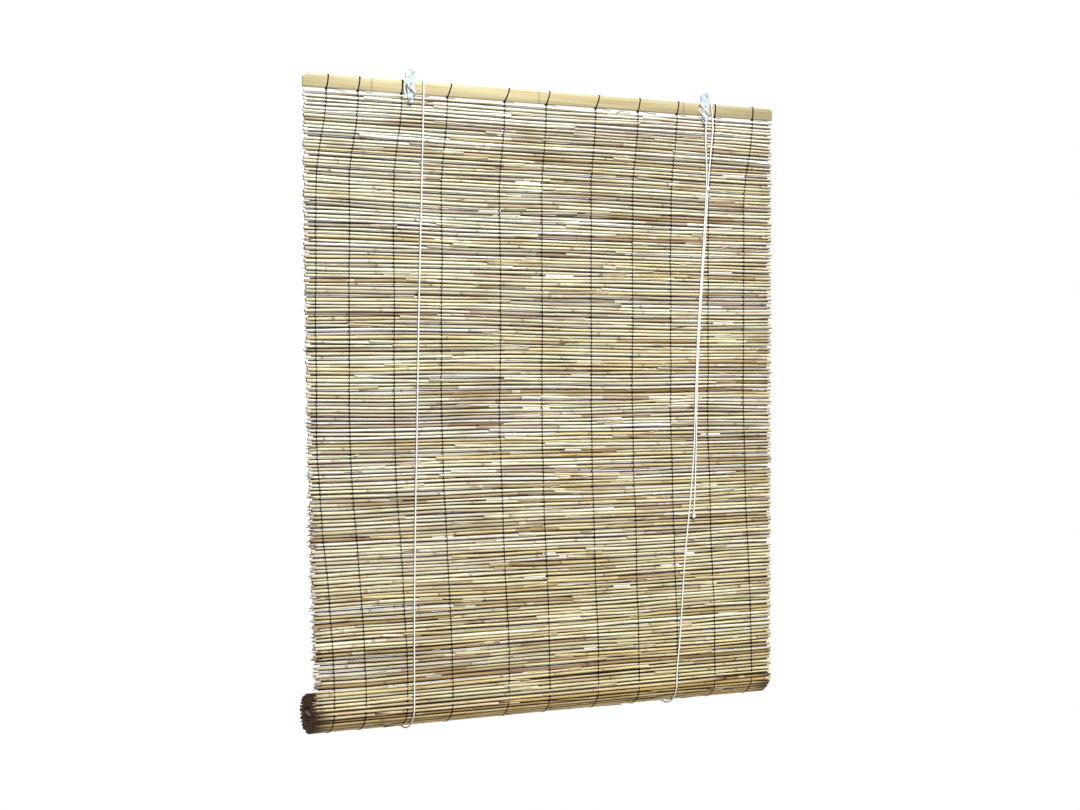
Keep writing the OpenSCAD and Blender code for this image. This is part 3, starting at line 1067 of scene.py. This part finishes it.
def slat_section(s):
    """The ring of points of the slat at s, and its colour."""
    near = min(s, BLIND_W - s, SLAT_CORNER)
    drop = SLAT_CORNER - math.sqrt(max(0, SLAT_CORNER ** 2 - (SLAT_CORNER - near) ** 2))
    top = SLAT_TOP - drop
    bottom = SLAT_BOTTOM
    x = slat_low.x + s
    ridge = sum(math.exp(-((s - node) / NODE_WIDTH) ** 2) for node in SLAT_NODES)
    ring = []
    for t in np.linspace(0, 1, 11):
        z = bottom + SLAT_BEVEL + (top - bottom - 2 * SLAT_BEVEL) * t
        dome = SLAT_DOME * ((z - SLAT_MID) / (SLAT_H / 2)) ** 2
        rise = NODE_RISE * ridge * (1 - abs(2 * t - 1) ** 4)
        ring.append((x, SLAT_FRONT + max(dome - rise, -NODE_MOST_RISE), z))
    edge = SLAT_FRONT + SLAT_DOME + SLAT_BEVEL
    ring += [
        (x, edge, top), (x, SLAT_BACK - SLAT_BEVEL, top), (x, SLAT_BACK, top - SLAT_BEVEL),
        (x, SLAT_BACK, bottom + SLAT_BEVEL), (x, SLAT_BACK - SLAT_BEVEL, bottom), (x, edge, bottom),
    ]
    along = s / BLIND_W
    mark = min(1, ridge)
    # The ends are painted darker, the right one most: painted shade
    shade = (1 - NODE_SHADE * mark) * (1 - LEFT_SHADE * (1 - along) ** 4 - RIGHT_SHADE * along ** 3.4)
    return ring, [shade * (1 - tint * mark) for tint in NODE_TINT]


def make_slat():
    """The bamboo slat: a domed front, eased edges, low nodes and round upper corners."""
    points, colours, faces = [], [], []
    for s in slat_stations():
        ring, colour = slat_section(s)
        points += ring
        colours += [colour] * len(ring)
    sides = len(ring)
    last = len(points) - sides
    for low in range(0, last, sides):
        high = low + sides
        for j in range(sides):
            after = (j + 1) % sides
            faces.append((low + after, low + j, high + j, high + after))
    faces.append(tuple(range(sides)))
    faces.append(tuple(range(last + sides - 1, last - 1, -1)))
    obj = new_object("slat", points, faces)
    set_colours(obj, np.array(colours))
    dress(obj, BAMBOO, "blind", "bamboo", "head_slat")


make_slat()


# Solids that stay as they are, with eased edges

SOFT_EDGE = 0.3 * MM
for name, look in (("hook_left", HOOK_PLASTIC), ("hook_right", HOOK_PLASTIC), ("bottom_slat", CORE_BAMBOO)):
    solid = frame["nodes"][name]
    solid.data.materials.clear()
    solid.data.materials.append(look)
    edge = solid.modifiers.new("soft_edges", "BEVEL")
    edge.width = SOFT_EDGE
    edge.segments = 2
    edge.limit_method = "ANGLE"


# Cords

CORD_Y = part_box("lift_cord_left_front")[0].y + CORD_R
LOOP_R = AXIS_Y - CORD_Y
END_GAP = 0.3 * MM
CORD_TWIST = (3, 4.2 * MM, 0.16)
CORD_SIDES = 12
CORD_STEP = 1.2 * MM
KNOT_SCALE = 1.0 * MM
KNOT_CORD_R = CORD_R * 0.92
BOW_CORD_R = CORD_R * 0.85

# Routes in mm. FRONT is the plane of the lift cords and FOOT the height where they meet their loops.
FRONT = CORD_Y / MM
FOOT = (AXIS_Z + END_GAP) / MM
LIFT_LEFT = [
    (-261, FRONT, -12), (-263, FRONT, -100), (-265.5, FRONT, -200), (-270, FRONT, -360),
    (-273, FRONT, -520), (-276, FRONT, -660), (-278, FRONT, -780), (-279, FRONT, -900), (-279, FRONT, FOOT),
]
LIFT_RIGHT = [
    (285, -0.4, -36.9), (285, -5.2, -37.1), (285, -6.2, -40), (285, -5.8, -46), (286.5, FRONT, -80),
    (288.5, FRONT, -120), (288, FRONT, -160), (283, FRONT, -240), (275.5, FRONT, -340),
    (269.5, FRONT, -430), (265.5, FRONT, -540), (262, FRONT, -620), (254, FRONT, -710),
    (244, FRONT, -800), (235.5, FRONT, -920), (229, FRONT, -984), (228, FRONT, -1004), (228, FRONT, FOOT),
]
CROSS = [
    (-261, FRONT, -12), (-261, -2, -9.8), (-261, -0.6, -8.6), (-260.8, 2.8, -8), (-260, 5.6, -8.2),
    (-258.5, 7.4, -9.6), (-255, 7.9, -12), (-248, 7.9, -13.5), (-120, 7.9, -16), (60, 7.9, -17),
    (240, 7.9, -15), (264, 9, -14.5), (274, 10.6, -14), (288, 10.4, -12.5), (294.5, 8.6, -10),
    (297, 5.6, -8.4), (297.6, 2.6, -8), (298, -0.8, -8.6), (298.2, -2.1, -10), (298.2, FRONT, -12),
]
PULL = [
    (298.2, FRONT, -12), (300, FRONT, -26), (301.5, FRONT, -44), (300.4, FRONT, -66), (298, FRONT, -88),
    (295.4, FRONT, -116), (292.8, FRONT, -142), (291.4, FRONT, -160), (289, FRONT, -200),
    (286.2, FRONT, -240), (282, FRONT, -290), (278.6, FRONT, -340), (275, FRONT, -390),
    (272.6, FRONT, -430), (270.4, FRONT, -480), (268.7, FRONT, -540), (267.4, FRONT, -600),
    (266.2, FRONT, -650), (264.6, FRONT, -690), (262.4, FRONT, -724),
]
UPPER_KNOT = (290, FRONT - 1.4, -158)
END_KNOT = (262.2, FRONT - 1.4, -726)

# Routes about each hook, with x from the hook's middle: its tie, the tie's bow, the back cord's upper end
TIE = [
    (-9.6, 2.8, -8.2), (-9.8, -1.2, -8.8), (-9.2, -5.2, -12.5), (-5.5, -5.6, -17), (0, -5.8, -22),
    (5.4, -5.6, -26.5), (7.9, -4.4, -30), (8.2, -0.8, -32.5), (8, 3.6, -32.6), (7.4, 6.6, -32.3),
    (6.8, 7.6, -30.4), (3.6, 7.7, -25), (-3, 7.7, -18), (-8.6, 7.7, -12), (-9.4, 7.3, -9.3),
    (-9.6, 5.6, -8.2),
]
BOW = {
    "left": [
        (-9.4, -3.6, -11), (-11.2, -4.4, -18), (-11.8, -5, -25), (-10.4, -5.8, -31.5), (-6.4, -6.4, -35.4),
        (-2.2, -6.4, -37.2), (-0.2, -5.2, -37.2), (0, -3.4, -37),
    ],
    "right": [
        (-0.4, -5.4, -37.6), (-3.4, -6.8, -34.6), (-8, -7, -29.6), (-12, -6.6, -25.6), (-14.6, -6.4, -22.6),
        (-14, -6.4, -20.4), (-11.4, -6.6, -20.6), (-7.4, -7, -24.4), (-3, -7.2, -30.4), (-0.2, -6.6, -35.6),
    ],
}
TIE_OFF = (7, 9.4, -32.5)

# Share of the way up and how far out in mm: the raised cord then lies round the back of the roll
REAR_BULGE = (
    (0, 0), (0.05, 3), (0.1, 5.6), (0.2, 9), (0.3, 10.4),
    (0.4, 9), (0.5, 6), (0.65, 3), (0.8, 1), (1, 0),
)


def add_cord(tubes, points, radius=CORD_R):
    """A laid cord along points in metres. Returns its path."""
    path = smooth_path(points, CORD_STEP)
    tubes.add_path(path, radius, CORD_SIDES, CORD_WHITE, twist=CORD_TWIST)
    return path


def cord_piece(name, points, body, *nodes):
    tubes = Tubes()
    path = add_cord(tubes, metres(points))
    return dress(tubes.build(name), CORD, body, "cord", *nodes), path


def knot_piece(name, at, node):
    tubes = Tubes()
    add_cord(tubes, back_to_start(knot_path(metres(at), KNOT_SCALE)), KNOT_CORD_R)
    return dress(tubes.build(name), CORD, "blind", "cord", node)


def raised(piece):
    """A cord that draws up with the roll, towards its upper end: here it only gets its own copy of its mesh.
    """
    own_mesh(piece)


for side, points, hook_x in (("left", LIFT_LEFT, -HOOK_X), ("right", LIFT_RIGHT, HOOK_X)):
    piece, _ = cord_piece("lift_%s" % side, points, "blind", "lift_cord_%s_front" % side)
    raised(piece)
    foot_x = points[-1][0]
    rear_foot = np.array((foot_x, (AXIS_Y + LOOP_R) / MM, FOOT))
    tie_off = np.array((hook_x / MM, 0, 0)) + TIE_OFF
    back = [rear_foot * (1 - s) + tie_off * s + np.array((0, out, 0)) for s, out in REAR_BULGE]
    piece, _ = cord_piece("lift_%s_rear" % side, back, "blind", "lift_cord_%s_back" % side)
    raised(piece)
    under = [round_axis(a, LOOP_R) for a in np.linspace(0, math.pi, 25)]
    sling = [(foot_x, y / MM, z / MM) for y, z in under]
    cord_piece("sling_%s" % side, sling, "lift_loops", "lift_loop_%s" % side)

cord_piece("cross_run", CROSS, "blind", "cross_cord")
pull, pull_path = cord_piece("pull", PULL, "blind", "pull_cord")
upper_knot = knot_piece("pull_knot", UPPER_KNOT, "upper_knot")
end_knot = knot_piece("pull_end", END_KNOT, "end_knot")

for side, hook_x in (("left", -HOOK_X), ("right", HOOK_X)):
    tubes = Tubes()
    hook_middle = np.array((hook_x, 0, 0))
    add_cord(tubes, back_to_start(metres(TIE) + hook_middle))
    add_cord(tubes, metres(BOW[side]) + hook_middle, BOW_CORD_R)
    dress(tubes.build("tie_%s" % side), CORD, "blind", "cord", "hook_tie_%s" % side)


# Stage, light and camera

FLOOR_DROP = 0.26
FLOOR_R = 1.5
FLOOR_SIDES = 64
# The floor's tone for the light that it throws back and for the camera, and where it fades out, in metres
FLOOR_TONES = (0.25, 0.9)
FLOOR_FADE = (0.2, 0.5)
# The world's strength as a light, and where it is seen
WORLD_LIGHT = (0.14, 1.0)

LENS_MM = 68.4
SENSOR_MM = 36
CAMERA_AT = (-1.752, -2.948, -0.467)
CAMERA_TILT = math.radians(90 - 1.06)
CAMERA_TURN = math.radians(-30.08)

# Name, place, aim, diameter, watts and colour of each lamp
LAMPS = (
    ("key", (-0.5, -2.7, 3.5), (0, 0, -0.55), 1.2, 398, WHITE),
    ("low_fill", (0.2, -2.4, -2.2), (0, 0, -0.6), 1.5, 35, (1, 0.93, 0.82)),
    ("back", (0.7, 3.2, 1.2), (0, 0, -0.55), 1.5, 120, WHITE),
    ("side_left", (-3.2, 0.3, 0.4), (0, 0, -0.6), 1.2, 30, WHITE),
    ("side_right", (3.2, 0.6, 0.6), (0, 0, -0.6), 1.2, 40, WHITE),
)


def map_range(nodes, names, limits):
    """A node that maps one range to another, with the two named limits set."""
    node = nodes.new("ShaderNodeMapRange")
    for name, limit in zip(names, limits):
        node.inputs[name].default_value = limit
    return node


def make_floor():
    """A pale floor that fades into the white round it and keeps the shadow."""
    level = cad_low.z - FLOOR_DROP
    turns = np.linspace(0, 2 * math.pi, FLOOR_SIDES, endpoint=False)
    rim = [(FLOOR_R * math.cos(a), FLOOR_R * math.sin(a), level) for a in turns]
    obj = new_object("floor", rim, [tuple(range(FLOOR_SIDES))], smooth=False)
    shader = Shader("floor", roughness=0.9, specular=0.1)
    nodes, links = shader.nodes, shader.links
    seen = nodes.new("ShaderNodeLightPath")
    tone = map_range(nodes, ("To Min", "To Max"), FLOOR_TONES)
    links.new(seen.outputs["Is Camera Ray"], tone.inputs["Value"])
    shader.paint(tone.outputs["Result"])
    place = nodes.new("ShaderNodeTexCoord")
    flat = nodes.new("ShaderNodeVectorMath")
    flat.operation = "MULTIPLY"
    flat.inputs[1].default_value = (1, 1, 0)
    away = nodes.new("ShaderNodeVectorMath")
    away.operation = "LENGTH"
    fade = map_range(nodes, ("From Min", "From Max"), FLOOR_FADE)
    fade.interpolation_type = "SMOOTHSTEP"
    clear = nodes.new("ShaderNodeBsdfTransparent")
    blend = nodes.new("ShaderNodeMixShader")
    links.new(place.outputs["Object"], flat.inputs[0])
    links.new(flat.outputs["Vector"], away.inputs[0])
    links.new(away.outputs["Value"], fade.inputs["Value"])
    links.new(fade.outputs["Result"], blend.inputs["Fac"])
    links.new(shader.bsdf.outputs["BSDF"], blend.inputs[1])
    links.new(clear.outputs["BSDF"], blend.inputs[2])
    links.new(blend.outputs["Shader"], nodes["Material Output"].inputs["Surface"])
    obj.data.materials.append(shader.material)


def make_world():
    """White where it is seen, mirrored or seen through, and a weak light otherwise."""
    world = bpy.data.worlds.new("studio")
    bpy.context.scene.world = world
    world.use_nodes = True
    nodes, links = world.node_tree.nodes, world.node_tree.links
    shade = nodes["Background"]
    shade.inputs["Color"].default_value = (*WHITE, 1)
    path = nodes.new("ShaderNodeLightPath")
    seen = path.outputs["Is Camera Ray"]
    for ray in ("Is Glossy Ray", "Is Transmission Ray"):
        either = nodes.new("ShaderNodeMath")
        either.operation = "MAXIMUM"
        links.new(seen, either.inputs[0])
        links.new(path.outputs[ray], either.inputs[1])
        seen = either.outputs["Value"]
    level = map_range(nodes, ("To Min", "To Max"), WORLD_LIGHT)
    links.new(seen, level.inputs["Value"])
    links.new(level.outputs["Result"], shade.inputs["Strength"])


def area_light(name, at, aim, size, watts, colour):
    data = bpy.data.lights.new(name, "AREA")
    data.color = colour
    data.shape = "DISK"
    data.size = size
    data.energy = watts
    obj = bpy.data.objects.new(name, data)
    obj.location = at
    obj.rotation_euler = (Vector(aim) - Vector(at)).to_track_quat("-Z", "Y").to_euler()
    bpy.context.scene.collection.objects.link(obj)


def make_camera():
    data = bpy.data.cameras.new("camera")
    data.lens = LENS_MM
    data.sensor_width = SENSOR_MM
    obj = bpy.data.objects.new("camera", data)
    obj.location = CAMERA_AT
    obj.rotation_euler = (CAMERA_TILT, 0, CAMERA_TURN)
    bpy.context.scene.collection.objects.link(obj)
    bpy.context.scene.camera = obj


make_floor()
make_world()
for lamp in LAMPS:
    area_light(*lamp)
make_camera()
bpy.context.scene.view_settings.view_transform = "Standard"
